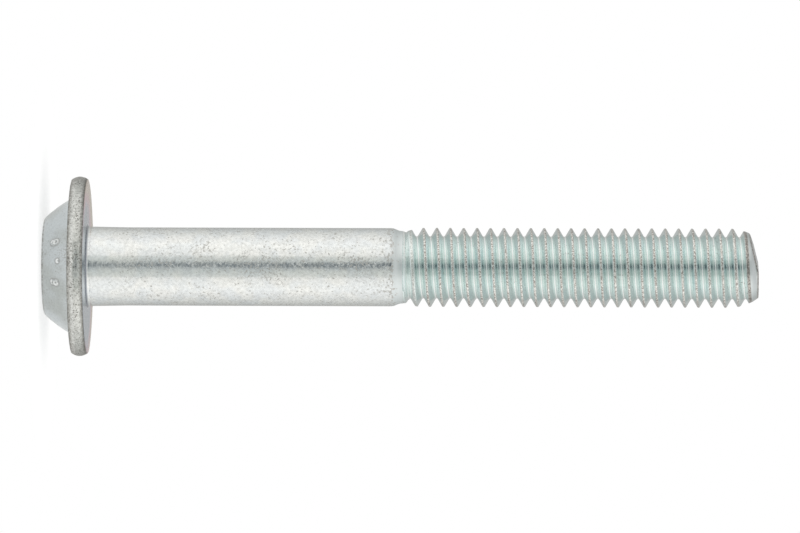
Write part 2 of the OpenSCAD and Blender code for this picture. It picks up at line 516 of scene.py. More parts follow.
@dataclass
class Shank:
    """Fillet and swell under the head, plain shank, rounded shoulder and neck."""

    diameter: float = 5.83
    root_d: float = 5.93
    swell_len: float = 3.0
    underhead_r: float = 0.25
    neck_d: float = 5.4
    shoulder_len: float = 0.9
    neck_land: float = 0.05
    fillet_rows: int = 9
    plain_rows: int = 16
    shoulder_rows: int = 9
    neck_range: Range = (-0.2, 0.7)

    def join_r(self) -> float:
        """Radius at which the fillet leaves the bearing face."""
        return self.root_d / 2.0 + self.underhead_r

    def build(self, skin: Skin, angle: Array, end: float) -> tuple[Array, Array]:
        """Adds the rings from the bearing face to the end of the neck.

        Args:
            skin: skin to add to.
            angle: angles of the columns, in radians.
            end: height at which the thread starts.

        Returns:
            The first and the last ring.
        """
        fillet_centre = (self.join_r(), self.underhead_r)
        fillet = arc(fillet_centre, self.underhead_r, 270.0, 180.0, self.fillet_rows)
        shoulder_start = end - self.neck_land - self.shoulder_len
        swell = np.array([[self.diameter / 2.0, self.swell_len]])
        height = np.linspace(self.swell_len, shoulder_start, self.plain_rows)[1:-1]
        plain = np.stack([np.full_like(height, self.diameter / 2.0), height], axis=1)
        drop = (self.diameter - self.neck_d) / 2.0
        turn = 2.0 * math.degrees(math.atan2(drop, self.shoulder_len))
        round_r = self.shoulder_len / (2.0 * math.sin(math.radians(turn)))
        fall = arc((self.diameter / 2.0 - round_r, shoulder_start), round_r, 0.0, turn, self.shoulder_rows)
        neck_centre = (self.neck_d / 2.0 + round_r, end - self.neck_land)
        rise = arc(neck_centre, round_r, 180.0 + turn, 180.0, self.shoulder_rows)[1:]
        last = np.array([[self.neck_d / 2.0, end]])
        section = np.concatenate([fillet, swell, plain, fall, rise, last])
        level = np.zeros(len(plain) + 1)
        swing = np.linspace(0.0, turn, self.shoulder_rows)
        tilt = [np.linspace(90.0, 0.0, self.fillet_rows), level, swing, swing[-2::-1], np.zeros(1)]
        tilt = np.radians(np.concatenate(tilt))[:, None]
        normal = np.stack([np.cos(tilt) * np.cos(angle), np.cos(tilt) * np.sin(angle),
                           np.broadcast_to(np.sin(tilt), (len(tilt), angle.size))], axis=-1)
        share = (section[:, 1:] - shoulder_start) / self.shoulder_len
        neck = smoothstep(*self.neck_range, share)
        rings = skin.add(section[:, :1], angle, section[:, 1:], normal, neck=neck)
        skin.sheet(rings, Zone.SHANK)
        skin.harden(rings[-1])
        return rings[0], rings[-1]


@dataclass
class Thread:
    """Rolled right-hand thread that grows out of the neck, and the bevelled and half-sheared point."""

    length: float = 50.0
    thread_len: float = 26.45
    major_d: float = 5.9
    pitch: float = 1.0
    flank_angle: float = 30.0
    crest_flat: float = 0.125
    root_r: float = 0.118
    neck_d: float = 5.4
    die_step: float = 0.03
    root_run: float = 0.65
    crest_run: float = 1.3
    tip_d: float = 4.4
    point_angle: float = 35.0
    lead_len: float = 2.2
    lead_drop: float = 0.7
    crop_tilt: float = 14.0
    crop_turn: float = 190.0
    crop_offset: float = 0.05
    crest_round: float = 0.05
    root_round: float = 0.06
    crest_wear: Range = (0.12, 0.05)
    young_wear: float = 0.55
    full_grown: Range = (0.8, 1.0)
    # Where the root's painted highlight and the flank foot's painted shade rise, in pitches off the crest.
    root_shine: Range = (0.43, 0.48)
    foot: Range = (0.28, 0.4)
    bevel_len: float = 0.5
    last_ridge: int = 25
    ridge_reach: Range = (0.2, 0.85)
    bevel_edge: float = 0.07
    bevel_shift: float = 0.09
    bevel_depth: float = 0.2
    end_edge: Range = (0.15, 0.06)
    wobble: float = 0.005
    wobble_grain: float = 1.2
    wobble_seed: int = 5
    smooth_limit: float = 0.05
    normal_step: float = 0.002
    end_rows: int = 9
    end_rounds: int = 8
    spare_turns: int = 2
    snap: float = 0.03
    row_steps: tuple[float, ...] = (
        -0.09, -0.045, 0.0, 0.045, 0.09, 0.16, 0.25, 0.33, 0.39, 0.445, 0.5, 0.555, 0.61, 0.67, 0.75, 0.84)

    def start(self) -> float:
        """Height at which the thread starts, on the neck."""
        return self.length - self.thread_len

    def end_height(self, radius: Array, angle: Array) -> Array:
        """Height of the end face: flat on one side, and falling by the shear's tilt past its edge line."""
        past = radius * np.cos(angle - math.radians(self.crop_turn)) - self.crop_offset
        return self.length - math.tan(math.radians(self.crop_tilt)) * np.clip(past, 0.0, None)

    def grown(self, height: Array, run: float) -> Array:
        """Share of its full size that the thread has at a height: half a cosine wave over the run."""
        return (1.0 - np.cos(math.pi * np.clip((height - self.start()) / run, 0.0, 1.0))) / 2.0

    def limits(self, height: Array) -> tuple[Array, Array]:
        """Radius of the crest and of the root at a height.

        Both start at the rolled blank and reach their full size by half a cosine wave over their run;
        the crest then falls by a parabola over the lead.

        Args:
            height: heights along the screw.

        Returns:
            Crest radius and root radius.
        """
        blank = self.neck_d / 2.0 - self.die_step
        left = self.length - height
        slope = math.tan(math.radians(self.flank_angle))
        sharp_root = self.major_d / 2.0 + self.crest_flat / 2.0 / slope - self.pitch / 2.0 / slope
        root = sharp_root + self.root_r * (1.0 / math.sin(math.radians(self.flank_angle)) - 1.0)
        lead = self.lead_drop * np.clip(1.0 - left / self.lead_len, 0.0, None) ** 2
        crest = blank + (self.major_d / 2.0 - blank) * self.grown(height, self.crest_run) - lead
        return crest, blank + (root - blank) * self.grown(height, self.root_run)

    def radii(self, angle: Array, height: Array) -> tuple[Array, Array]:
        """Radius of the thread and of the point's cone.

        The flanks fall straight from the crest, are cut off at its radius and rounded out at the root's.

        Args:
            angle: angles round the axis, in radians.
            height: heights along the screw.

        Returns:
            Distance of the thread and of the bevel from the axis; the surface is the lesser.
        """
        turns = (height - self.start()) / self.pitch - angle / (2.0 * math.pi)
        off_crest = np.abs(turns - np.round(turns)) * self.pitch
        slope = math.tan(math.radians(self.flank_angle))
        flank = self.major_d / 2.0 + self.crest_flat / 2.0 / slope - off_crest / slope
        crest, root = self.limits(height)
        body = soft_most(soft_least(flank, crest, self.crest_round), root, self.root_round)
        return body, self.tip_d / 2.0 + (self.length - height) * math.tan(math.radians(self.point_angle))

    def build(self, skin: Skin, angle: Array, neck: Array) -> None:
        """Adds the thread on rows that climb by one pitch in a turn, then the end face.

        A row's height is the start plus a pitch times its step and its share of a turn. Rows before the start
        and after the end face are drawn together on those edges, and their empty cells are left out. The end
        face's edge is where the face and the thread agree, found by taking each from the other in turn.

        Args:
            skin: skin to add to.
            angle: angles of the columns, in radians.
            neck: last ring of the neck.
        """
        rim_r = np.full_like(angle, self.tip_d / 2.0)
        for _ in range(self.end_rounds):
            rim_z = self.end_height(rim_r, angle)
            rim_r = np.minimum(*self.radii(angle, rim_z))
        turns = np.arange(-self.spare_turns, math.ceil(self.thread_len / self.pitch) + self.spare_turns)
        steps = (turns[:, None] + np.array(self.row_steps)[None, :]).ravel()
        climb = self.start() + self.pitch * (steps[:, None] + angle[None, :] / (2.0 * math.pi))
        first = (climb < self.start() + self.snap).sum(axis=0) - 1
        last = (climb <= rim_z - self.snap).sum(axis=0)
        row = np.arange(steps.size)[:, None]
        height = np.where(row <= first, self.start(), np.where(row >= last, rim_z, climb))
        body, cone = self.radii(angle, height)
        bevel = self.bevel_lens(angle, rim_z)
        marks = self.worn(steps[:, None], height, body, rim_z - height, bevel)
        inside = (row > first) & (row < last)
        dents = grain(steps.size, angle.size, self.wobble_grain, self.wobble_seed)
        wobble = self.wobble * dents * marks["crest"] * inside
        radius = np.where(row >= last, rim_r, np.minimum(body, cone)) + np.minimum(wobble, 0.0)
        smooth = inside & (marks["crest"] < self.smooth_limit) & (rim_z - height > bevel)
        normal = self.normals(angle, height) * smooth[..., None]
        numbers = skin.add(radius, angle, height, normal, **marks)
        numbers = np.take_along_axis(numbers, np.clip(row, first, last), axis=0)
        after = np.roll(numbers, -1, axis=1)
        rise = len(self.row_steps)
        after[:-rise, -1] = numbers[rise:, 0]
        after[-rise:, -1] = numbers[-1, 0]
        skin.faces(numbers[:-1], after[:-1], numbers[1:], after[1:], Zone.THREAD)
        skin.sheet(np.stack([neck, numbers[0]]), Zone.THREAD)
        skin.harden(numbers[0])
        self.end_face(skin, angle, rim_r, numbers[-1])

    def normals(self, angle: Array, height: Array) -> Array:
        """Direction of the thread's surface: outward, less its slope round the axis and along it.

        Args:
            angle: angles round the axis, in radians.
            height: heights along the screw.

        Returns:
            Unit vectors.
        """
        step = self.normal_step
        radius = self.radii(angle, height)[0]
        along = (self.radii(angle, height + step)[0] - self.radii(angle, height - step)[0]) / (2.0 * step)
        turn = step / radius
        ahead = self.radii(angle + turn, height)[0]
        behind = self.radii(angle - turn, height)[0]
        round_axis = (ahead - behind) / (2.0 * step)
        east = np.cos(angle) + round_axis * np.sin(angle)
        north = np.sin(angle) - round_axis * np.cos(angle)
        made = np.stack([east, north, -along], axis=-1)
        return made / np.linalg.norm(made, axis=-1, keepdims=True)

    def bevel_lens(self, angle: Array, rim_z: Array) -> Array:
        """Length of the bevel at each angle: back to a near last ridge, or else a plain length.

        Args:
            angle: angles round the axis, in radians.
            rim_z: height of the end face's edge at those angles.

        Returns:
            The lengths.
        """
        ridge = rim_z - self.start() - self.pitch * (self.last_ridge + angle / (2.0 * math.pi))
        near = np.where(ridge < self.ridge_reach[1], ridge, ridge - self.pitch)
        return np.where(near > self.ridge_reach[0], near, self.bevel_len)

    def worn(self, steps: Array, height: Array, body: Array, left: Array, bevel: Array) -> dict[str, Array]:
        """Shares of worn crest, painted root highlight, bevel and painted flank-foot shade at the thread's
        points.

        A crest is worn near its middle, most of all where it has its full height, and so are the bevel's
        two edges. A root has a painted highlight near its middle, and the feet of its flanks round it have
        painted shade. The bevel lies past the last crest.

        Args:
            steps: place of each row in pitches, a whole number on a crest.
            height: heights of the points.
            body: distance of the thread from the axis.
            left: distance along the axis to the end face's edge.
            bevel: length of the bevel.

        Returns:
            The shares by the name of their mark.
        """
        off_crest = np.abs(steps - np.round(steps))
        full = smoothstep(*self.full_grown, self.grown(height, self.crest_run))
        wear = self.young_wear + (1.0 - self.young_wear) * full
        ridge = smoothstep(*self.crest_wear, off_crest) * wear
        on_top = body > self.limits(height)[0] - self.bevel_depth
        past = left < bevel
        off_brink = np.abs(left - bevel - self.bevel_shift)
        brink = smoothstep(self.bevel_edge, 0.0, off_brink - self.bevel_edge) * on_top
        rim = smoothstep(*self.end_edge, left)
        crest = np.maximum(np.where(past, brink, np.maximum(ridge, brink)), rim)
        # Painted highlight along the root and painted shade at the flanks' feet.
        root = np.where(past, 0.0, smoothstep(*self.root_shine, off_crest))
        foot = np.where(past, 0.0, smoothstep(*self.foot, off_crest))
        edge = np.where((left < bevel + self.bevel_shift + 2.0 * self.bevel_edge) & on_top, 1.0, 0.0)
        return {"crest": crest, "root": root, "edge": edge, "hollow": foot}

    def end_face(self, skin: Skin, angle: Array, rim_r: Array, rim: Array) -> None:
        """Closes the point with rings that shrink to its middle.

        Args:
            skin: skin to add to.
            angle: angles of the columns, in radians.
            rim_r: radius of the end face's edge.
            rim: ring along that edge.
        """
        share = np.linspace(1.0, 0.0, self.end_rows + 1)[1:, None]
        radius = share * rim_r
        rings = skin.add(radius, angle, self.end_height(radius, angle))
        rings[-1] = rings[-1, 0]
        skin.sheet(np.concatenate([rim[None, :], rings]), Zone.POINT)
        skin.harden(rim)


class Nodes:
    """Adds and links the nodes of a material or a world."""

    def __init__(self, tree: bpy.types.NodeTree) -> None:
        """Starts with an empty tree."""
        self._tree = tree
        self._tree.nodes.clear()

    def node(self, kind: str, **settings: object) -> bpy.types.Node:
        """Adds a node.

        Args:
            kind: Blender's name for the kind of node.
            settings: properties of the node by name.

        Returns:
            The new node.
        """
        made = self._tree.nodes.new(kind)
        for name, value in settings.items():
            setattr(made, name, value)
        return made

    def feed(self, target: Wire, value: Feed) -> None:
        """Links a socket to another, or sets its value.

        Args:
            target: socket to feed.
            value: socket to link it to, or value to set.
        """
        if isinstance(value, Wire):
            self._tree.links.new(value, target)
        elif isinstance(value, tuple) and target.type == "RGBA":
            target.default_value = (*value, 1.0)
        else:
            target.default_value = value

    def feed_all(self, node: bpy.types.Node, feeds: dict[str, Feed]) -> None:
        """Feeds the sockets of a node by name."""
        for name, value in feeds.items():
            self.feed(node.inputs[name], value)

    def rise(self, value: Feed, low: float, high: float, bottom: float = 0.0, top: float = 1.0) -> Wire:
        """Smooth rise of a value along 3t^2 - 2t^3, where t is the share of the way.

        Args:
            value: value to place on the rise.
            low: value at which the rise starts.
            high: value at which it ends; it may be under low for a fall.
            bottom: result at low.
            top: result at high.

        Returns:
            The risen value.
        """
        scale = self.node("ShaderNodeMapRange", interpolation_type="SMOOTHSTEP")
        ends = {"From Min": low, "From Max": high, "To Min": bottom, "To Max": top}
        self.feed_all(scale, {"Value": value, **ends})
        return scale.outputs["Result"]

    def math(self, operation: str, first: Feed, second: Feed = 0.0) -> Wire:
        """One sum of two values.

        Args:
            operation: Blender's name for the sum.
            first: first value.
            second: second value, where the sum has one.

        Returns:
            The result.
        """
        made = self.node("ShaderNodeMath", operation=operation)
        self.feed(made.inputs[0], first)
        self.feed(made.inputs[1], second)
        return made.outputs[0]

    def blend(self, share: Feed, first: Feed, second: Feed) -> Wire:
        """Colour between two colours by a share.

        Args:
            share: share of the second colour.
            first: first colour.
            second: second colour.

        Returns:
            The blended colour.
        """
        made = self.node("ShaderNodeMix", data_type="RGBA")
        for number, value in zip(MIX_INPUTS, (share, first, second)):
            self.feed(made.inputs[number], value)
        return made.outputs[MIX_OUTPUT]


class Shader(Nodes):
    """Nodes of one material. Lengths are in millimetres of Object coordinates."""

    def __init__(self, name: str) -> None:
        """Starts an empty material with Object coordinates.

        Args:
            name: name of the material.
        """
        self.material = bpy.data.materials.new(name)
        self.material.use_nodes = True
        super().__init__(self.material.node_tree)
        self._place = self.node("ShaderNodeTexCoord").outputs["Object"]

    def noise(self, size: float, seed: float, detail: float) -> Wire:
        """Cloudy noise with spots of about a given size.

        Args:
            size: size of the spots.
            seed: place of the pattern in the noise.
            detail: levels of finer noise on top.

        Returns:
            The noise, about 0.5 in the middle.
        """
        texture = self.node("ShaderNodeTexNoise", noise_dimensions="4D")
        scale = 1.0 / (size * MM)
        self.feed_all(texture, {"Vector": self._place, "W": seed, "Scale": scale, "Detail": detail})
        return texture.outputs["Fac"]

    def attribute(self, name: str) -> Wire:
        """Value of a mesh attribute."""
        return self.node("ShaderNodeAttribute", attribute_name=name).outputs["Fac"]

    def along(self, axis: str) -> Wire:
        """Place along an axis of the frame.

        Args:
            axis: X, Y or Z.

        Returns:
            The place, in metres.
        """
        split = self.node("ShaderNodeSeparateXYZ")
        self.feed(split.inputs[0], self._place)
        return split.outputs[axis]

    def bump(self, height: Wire, rise: float, normal: Wire | None = None) -> Wire:
        """Normal tilted by a relief.

        Args:
            height: relief between 0 and 1.
            rise: height of the relief in microns.
            normal: normal to start from, if not the mesh's own.

        Returns:
            The new normal.
        """
        made = self.node("ShaderNodeBump")
        self.feed_all(made, {"Distance": rise * MICRON, "Height": height})
        if normal is not None:
            self.feed(made.inputs["Normal"], normal)
        return made.outputs["Normal"]

    def end(self, surface: Wire) -> bpy.types.Material:
        """Ends the material in a surface."""
        self.feed(self.node("ShaderNodeOutputMaterial").inputs["Surface"], surface)
        return self.material

    def metal(self, colour: Wire, roughness: Wire, normal: Wire, grazing: Colour) -> bpy.types.Material:
        """Ends the material in a bare metal surface.

        Args:
            colour: colour of the metal.
            roughness: roughness of its gloss.
            normal: direction of the surface.
            grazing: tint at a grazing angle.

        Returns:
            The finished material.
        """
        surface = self.node("ShaderNodeBsdfPrincipled")
        self.feed_all(surface, {"Metallic": 1.0, "Base Color": colour, "Roughness": roughness,
                                "Specular Tint": grazing, "Normal": normal})
        return self.end(surface.outputs["BSDF"])


class Pattern(IntEnum):
    """The noises of a finish; each number is the noise's place past the finish's seed."""

    PATCH = 0
    CROWD = 1
    PIT = 2
    WAVE = 3
    GRAIN = 4
    RAG = 5
    WEAR = 6
    CRACK = 7
    CRACKED = 8
    FROST = 9
    DULL = 11


@dataclass(frozen=True)
class ZincFinish:
    """Zinc plate with broad patches of a second tone, small dark pits and a fine grain."""

    name: str
    colour: Colour = (0.80, 0.82, 0.82)
    patch_colour: Colour = (0.76, 0.79, 0.81)
    patch: float = 1.4
    soft_range: Range = (0.35, 0.65)
    pit_colour: Colour = (0.42, 0.41, 0.39)
    pit: float = 0.13
    pit_from: float = 0.64
    pit_soft: float = 0.08
    pit_detail: float = 1.0
    crowd_size: float = 2.0
    crowd_share: float = 0.35
    roughness: float = 0.2
    pit_roughness: float = 0.4
    grain: float = 0.14
    grain_rise: float = 3.0
    wave: float = 0.8
    wave_rise: float = 3.0
    seed: float = 0.0
    frost: float = 0.13
    frost_dim: float = 0.1
    grazing: Colour = WHITE

    def cloud(self, shader: Shader, size: float, pattern: Pattern, detail: float = 2.0) -> Wire:
        """One of the finish's noises, with spots of about a given size."""
        return shader.noise(size, self.seed + pattern, detail)

    def crowd(self, shader: Shader) -> Wire:
        """Broad noise that says where the pits crowd together."""
        return self.cloud(shader, self.crowd_size, Pattern.CROWD)

    def pits(self, shader: Shader) -> Wire:
        """Share of pit at each point: the peaks of a fine noise, more of them where the crowd is high.

        Args:
            shader: material to add to.

        Returns:
            The share.
        """
        crowd = shader.math("MULTIPLY", self.crowd(shader), self.crowd_share)
        fine = shader.math("ADD", self.cloud(shader, self.pit, Pattern.PIT, self.pit_detail), crowd)
        start = self.pit_from + self.crowd_share * NOISE_MIDDLE
        return shader.rise(fine, start, start + self.pit_soft)

    def tone(self, shader: Shader) -> Wire:
        """Colour without the pits: the patches, dimmed a little by a fine frost.

        Args:
            shader: material to add to.

        Returns:
            The colour.
        """
        patches = shader.rise(self.cloud(shader, self.patch, Pattern.PATCH), *self.soft_range)
        plain = shader.blend(patches, self.colour, self.patch_colour)
        frost = self.cloud(shader, self.frost, Pattern.FROST)
        return shader.blend(shader.rise(frost, *self.soft_range, top=self.frost_dim), plain, BLACK)

    def relief(self, shader: Shader) -> Wire:
        """Normal of the grain on the waves."""
        waves = shader.bump(self.cloud(shader, self.wave, Pattern.WAVE), self.wave_rise)
        return shader.bump(self.cloud(shader, self.grain, Pattern.GRAIN), self.grain_rise, waves)

    def smoothness(self, shader: Shader, pits: Wire) -> Wire:
        """Roughness, higher in the pits."""
        return shader.rise(pits, 0.0, 1.0, self.roughness, self.pit_roughness)

    def material(self) -> bpy.types.Material:
        """Makes the finish: the tone with its pits, on the relief.

        Returns:
            The finished material.
        """
        shader = Shader(self.name)
        pits = self.pits(shader)
        colour = shader.blend(pits, self.tone(shader), self.pit_colour)
        return shader.metal(colour, self.smoothness(shader, pits), self.relief(shader), self.grazing)


@dataclass(frozen=True)
class ShankFinish(ZincFinish):
    """Zinc plate of the shank, with fine cracks, which ends in a ragged pitted edge at the satin neck."""

    neck_colour: Colour = (0.745, 0.785, 0.785)
    neck_ragged: float = 0.3
    neck_rag: float = 2.4
    neck_from: float = 0.4
    neck_soft: float = 0.2
    neck_crowd: float = 1.0
    neck_roughness: float = 0.42
    crack: float = 0.7
    crack_width: float = 0.01
    crack_detail: float = 4.0
    cracked_size: float = 2.1
    cracked_range: Range = (0.5, 0.62)
    frost_range: Range = (0.45, 0.68)
    frost_roughness: float = 0.42
    # Colour and length of the painted shade in the corner under the head.
    corner_shade_colour: Colour = (0.30, 0.33, 0.38)
    corner_shade_len: float = 0.2
    clean: Range = (0.4, 3.0)

    def neck(self, shader: Shader) -> Wire:
        """Share of neck: the mesh's own share, made ragged by a noise.

        Args:
            shader: material to add to.

        Returns:
            The share.
        """
        rag = shader.math("MULTIPLY", self.cloud(shader, self.neck_ragged, Pattern.RAG), self.neck_rag)
        edge = self.neck_from + self.neck_rag * NOISE_MIDDLE
        return shader.rise(shader.math("ADD", shader.attribute("neck"), rag), edge, edge + self.neck_soft)

    def off_head(self, shader: Shader) -> Wire:
        """Share of marks: none close under the head, all of them further along."""
        return shader.rise(shader.along("Z"), self.clean[0] * MM, self.clean[1] * MM)

    def crowd(self, shader: Shader) -> Wire:
        """Crowd of the plain finish, higher towards the neck's edge."""
        closer = shader.math("MULTIPLY", shader.attribute("neck"), self.neck_crowd)
        return shader.math("ADD", super().crowd(shader), closer)

    def cracks(self, shader: Shader) -> Wire:
        """Share of crack: thin lines along the middle of a noise, in some places only.

        Args:
            shader: material to add to.

        Returns:
            The share.
        """
        veins = self.cloud(shader, self.crack, Pattern.CRACK, self.crack_detail)
        off_middle = shader.math("ABSOLUTE", shader.math("SUBTRACT", veins, NOISE_MIDDLE))
        lines = shader.rise(off_middle, self.crack_width, 0.0)
        some = shader.rise(self.cloud(shader, self.cracked_size, Pattern.CRACKED), *self.cracked_range)
        return shader.math("MULTIPLY", lines, some)

    def pits(self, shader: Shader) -> Wire:
        """Pits and cracks of the shank, none close under the head and none on the neck.

        Args:
            shader: material to add to.

        Returns:
            The share of pit or crack.
        """
        marks = shader.math("MAXIMUM", super().pits(shader), self.cracks(shader))
        marks = shader.math("MULTIPLY", marks, self.off_head(shader))
        return shader.math("MULTIPLY", marks, shader.math("SUBTRACT", 1.0, self.neck(shader)))

    def tone(self, shader: Shader) -> Wire:
        """Shank's tone, with painted shade in the corner under the head, and the neck's past the ragged edge.

        Args:
            shader: material to add to.

        Returns:
            The colour.
        """
        # Painted shade in the corner under the head, fading out along the first part of the shank.
        corner = shader.rise(shader.along("Z"), self.corner_shade_len * MM, 0.0)
        plain = shader.blend(corner, super().tone(shader), self.corner_shade_colour)
        return shader.blend(self.neck(shader), plain, self.neck_colour)

    def smoothness(self, shader: Shader, pits: Wire) -> Wire:
        """Roughness of the shank, higher where it is frosted, and the neck's past the ragged edge.

        Args:
            shader: material to add to.
            pits: share of pit.

        Returns:
            The roughness.
        """
        dull = self.cloud(shader, self.frost, Pattern.DULL)
        frosted = shader.rise(dull, *self.frost_range, top=self.frost_roughness)
        frosted = shader.math("MULTIPLY", frosted, self.off_head(shader))
        rough = shader.math("MAXIMUM", super().smoothness(shader, pits), frosted)
        return shader.math("MAXIMUM", rough, shader.math("MULTIPLY", self.neck(shader), self.neck_roughness))


@dataclass(frozen=True)
class HeadFinish(ZincFinish):
    """Zinc plate of the head, rubbed bright with a painted highlight on the raised figures, and painted shade
    beside them.
    """

    # Colour of the rubbed figures with their painted highlight, and of the painted shade beside them.
    rubbed_highlight_colour: Colour = (0.87, 0.88, 0.87)
    hollow_colour: Colour = (0.36, 0.365, 0.355)
    rub: float = 0.3
    rub_range: Range = (0.4, 0.58)
    worn_colour: Colour = (0.27, 0.27, 0.25)
    worn_grain: float = 0.12
    worn_range: Range = (0.4, 0.62)

    def tone(self, shader: Shader) -> Wire:
        """Plain tone, with the worn top edge, the painted shade beside the figures and the rubbed figures
        with their painted highlight.

        Args:
            shader: material to add to.

        Returns:
            The colour.
        """
        grains = shader.rise(self.cloud(shader, self.worn_grain, Pattern.WEAR), *self.worn_range)
        worn = shader.math("MULTIPLY", shader.attribute("edge"), grains)
        plain = shader.blend(worn, super().tone(shader), self.worn_colour)
        # Painted shade on the ground close round the raised figures.
        dull = shader.blend(shader.attribute("hollow"), plain, self.hollow_colour)
        # The rubbed figures are lighter, as worn metal and as a painted highlight.
        rubbed = shader.rise(self.cloud(shader, self.rub, Pattern.RAG), *self.rub_range)
        bright = shader.math("MULTIPLY", shader.attribute("raised"), rubbed)
        return shader.blend(bright, dull, self.rubbed_highlight_colour)


@dataclass(frozen=True)
class RimFinish(ZincFinish):
    """Zinc plate of the rim, with painted shade along its two edges."""

    # Colour of the painted shade along the rim's edges, and its ragged reach.
    edge_shade_colour: Colour = (0.255, 0.25, 0.23)
    edge_ragged: float = 0.16
    rag_range: Range = (0.32, 0.6)
    rag_reach: Range = (0.45, 1.15)

    def tone(self, shader: Shader) -> Wire:
        """Plain tone, and painted shade along both edges, made ragged by a noise.

        Args:
            shader: material to add to.

        Returns:
            The colour.
        """
        rag = shader.rise(self.cloud(shader, self.edge_ragged, Pattern.RAG), *self.rag_range, *self.rag_reach)
        # Painted shade along both edges of the rim.
        edge = shader.math("MULTIPLY", shader.attribute("edge"), rag)
        return shader.blend(edge, super().tone(shader), self.edge_shade_colour)


@dataclass(frozen=True)
class ThreadFinish(ZincFinish):
    """Zinc plate of the thread: tinted flanks with painted shade at their feet, painted highlights along the
    roots and grainy worn crests.
    """

    # Colours of the painted highlight along the roots and of the painted shade at the flanks' feet.
    root_highlight_colour: Colour = (0.985, 0.985, 0.97)
    foot_shade_colour: Colour = (0.735, 0.82, 0.805)
    crest_colour: Colour = (0.84, 0.82, 0.78)
    crest_dark: Colour = (0.36, 0.33, 0.30)
    crest_grain: float = 0.09
    crest_range: Range = (0.42, 0.6)
    bevel_colour: Colour = (0.62, 0.66, 0.66)
    root_roughness: float = 0.5
    brink_colour: Colour = (0.52, 0.49, 0.455)
    brink_dark: Colour = (0.20, 0.185, 0.17)

    def tone(self, shader: Shader) -> Wire:
        """Flank's tone, painted shade at its foot, a painted highlight along the root, the bevel's and the
        ridges' grain.

        Args:
            shader: material to add to.

        Returns:
            The colour.
        """
        # Painted shade at the flanks' feet, next to the roots.
        flank = shader.blend(shader.attribute("hollow"), super().tone(shader), self.foot_shade_colour)
        # Painted highlight along the roots.
        groove = shader.blend(shader.attribute("root"), flank, self.root_highlight_colour)
        bevel = shader.blend(shader.attribute("edge"), groove, self.bevel_colour)
        grains = shader.rise(self.cloud(shader, self.crest_grain, Pattern.WEAR), *self.crest_range)
        ridge = shader.blend(grains, self.crest_colour, self.crest_dark)
        brink = shader.blend(grains, self.brink_colour, self.brink_dark)
        ridge = shader.blend(shader.attribute("edge"), ridge, brink)
        return shader.blend(shader.attribute("crest"), bevel, ridge)

    def smoothness(self, shader: Shader, pits: Wire) -> Wire:
        """Roughness of the flanks, and the root's along the groove."""
        groove = shader.math("MULTIPLY", shader.attribute("root"), self.root_roughness)
        return shader.math("MAXIMUM", super().smoothness(shader, pits), groove)


@dataclass(frozen=True)
class BearingFinish(ZincFinish):
    """Zinc plate of the bearing face, with the rainbow tints of a thin clear film."""

    film_colours: tuple[Colour, ...] = (
        (0.47, 0.52, 0.57), (0.58, 0.54, 0.60), (0.69, 0.50, 0.53), (0.72, 0.54, 0.52), (0.70, 0.60, 0.50))
    film: float = 1.6
    film_stray: float = 0.8
    film_lean: tuple[float, float] = (-0.06, 0.13)

    def tone(self, shader: Shader) -> Wire:
        """Film tints one after another from the shank out to the edge.

        A tint starts at its share of the way out, sooner to one side, and strays with a noise.

        Args:
            shader: material to add to.

        Returns:
            The colour.
        """
        stray = shader.math("MULTIPLY", self.cloud(shader, self.film, Pattern.PATCH), self.film_stray)
        place = shader.math("ADD", shader.attribute("edge"), stray)
        for axis, lean in zip("XY", self.film_lean):
            place = shader.math("ADD", place, shader.math("MULTIPLY", shader.along(axis), lean / MM))
        width = 1.0 / len(self.film_colours)
        colour: Feed = self.film_colours[0]
        for step, tint in enumerate(self.film_colours[1:]):
            start = self.film_stray * NOISE_MIDDLE + width * (step + 0.5)
            colour = shader.blend(shader.rise(place, start, start + width), colour, tint)
        return colour


FINISHES: dict[Zone, ZincFinish] = {
    Zone.HEAD: HeadFinish(
        "zinc_head", colour=(0.51, 0.535, 0.52), patch_colour=(0.61, 0.645, 0.655), patch=2.2,
        pit_colour=(0.42, 0.43, 0.42), pit=0.12, pit_from=0.58, pit_soft=0.14, roughness=0.32,
        grain=0.12, grain_rise=6.0, wave=0.9, wave_rise=8.0, seed=10.0),
    Zone.RIM: RimFinish(
        "zinc_rim", colour=(0.78, 0.785, 0.755), patch_colour=(0.60, 0.605, 0.575), patch=0.22,
        pit_colour=(0.2, 0.195, 0.18), pit=0.1, pit_from=0.54, pit_soft=0.14, roughness=0.3,
        grain=0.1, grain_rise=7.0, wave=0.4, wave_rise=5.0, seed=20.0, grazing=(0.74, 0.73, 0.72)),
    Zone.BEARING: BearingFinish("zinc_bearing", roughness=0.25, pit_from=0.70, seed=30.0),
    Zone.SHANK: ShankFinish(
        "zinc_shank", colour=(0.925, 0.93, 0.905), patch_colour=(0.86, 0.885, 0.89), patch=1.1,
        pit_colour=(0.57, 0.565, 0.54), pit=0.17, pit_from=0.57, pit_soft=0.11, pit_detail=3.0,
        roughness=0.13, pit_roughness=0.5, grain=0.12, grain_rise=3.0, wave=0.36, wave_rise=10.0,
        seed=40.0, frost=0.2, frost_dim=0.14, grazing=(0.92, 0.92, 0.92)),
    Zone.THREAD: ThreadFinish(
        "zinc_thread", colour=(0.79, 0.865, 0.85), patch_colour=(0.76, 0.855, 0.855), pit_from=0.68,
        roughness=0.11, grain_rise=1.5, wave=0.5, wave_rise=2.0, seed=50.0),
    Zone.POINT: ZincFinish(
        "zinc_point", colour=(0.70, 0.72, 0.73), patch_colour=(0.60, 0.61, 0.61), patch=0.4,
        pit_from=0.56, roughness=0.4, grain_rise=8.0, seed=60.0),
}


